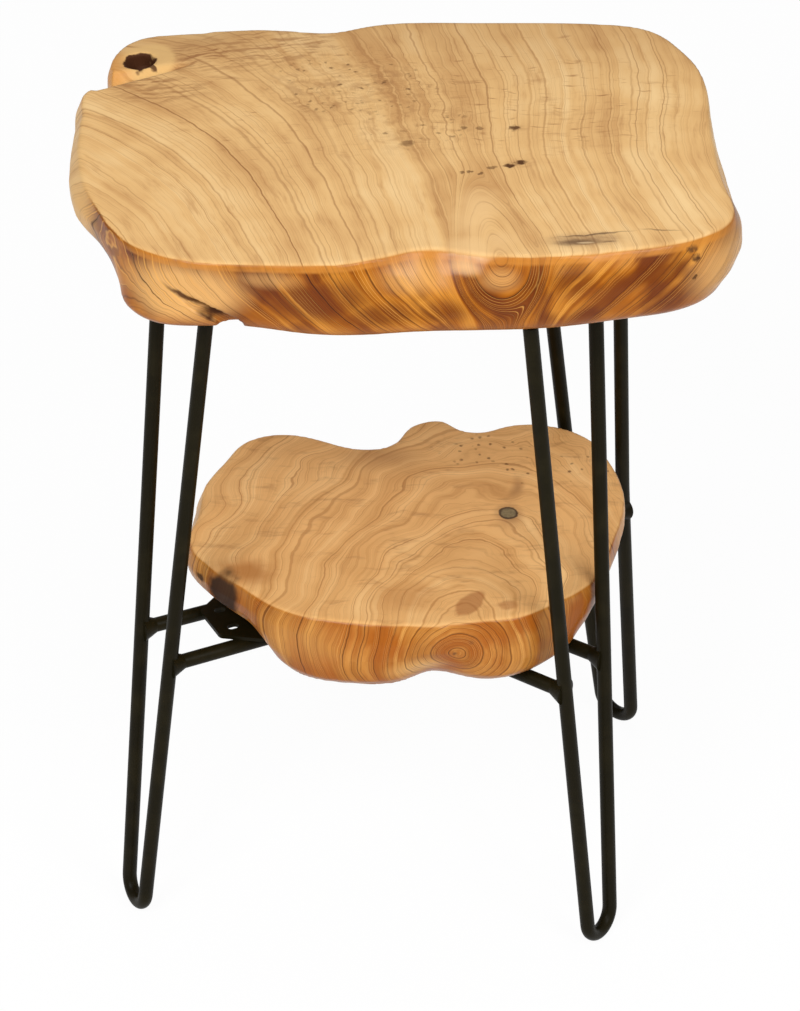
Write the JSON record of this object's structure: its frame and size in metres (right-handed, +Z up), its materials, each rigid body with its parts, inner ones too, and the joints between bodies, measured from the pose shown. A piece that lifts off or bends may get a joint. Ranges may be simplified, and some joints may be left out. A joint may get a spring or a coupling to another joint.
{
  "type": "rustic side table",
  "caption": "Small rustic side table: a thick live-edge slab top over a smaller live-edge shelf, on black steel hairpin legs.",
  "frame": {"origin": "on the floor, under the middle of the tabletop's bounding box", "axes": "+Z up, +X to the right along the tabletop's longer side, -Y towards the front edge with the long low lobe on its left"},
  "size_m": [0.4789, 0.3865, 0.5999],
  "materials": {
    "top_wood": "satin varnish over honey-coloured live-edge wood",
    "shelf_wood": "satin varnish over orange-brown live-edge wood",
    "black_steel": "satin black-brown powder coat",
    "screw_steel": "black oxide"
  },
  "bodies": {
    "root": {"tabletop_slab": "top_wood", "shelf_slab": "shelf_wood", "hairpin_rod_front_left": "black_steel", "top_plate_front_left": "black_steel", "shelf_plate_front_left": "black_steel", "stretcher_front_left_right": "black_steel", "stretcher_front_left_left": "black_steel", "top_screws_front_left": "screw_steel", "shelf_screws_front_left": "screw_steel", "hairpin_rod_front_right": "black_steel", "top_plate_front_right": "black_steel", "shelf_plate_front_right": "black_steel", "stretcher_front_right_right": "black_steel", "stretcher_front_right_left": "black_steel", "top_screws_front_right": "screw_steel", "shelf_screws_front_right": "screw_steel", "hairpin_rod_back": "black_steel", "top_plate_back": "black_steel", "shelf_plate_back": "black_steel", "stretcher_back_right": "black_steel", "stretcher_back_left": "black_steel", "top_screws_back": "screw_steel", "shelf_screws_back": "screw_steel"}
  },
  "joints": []
}
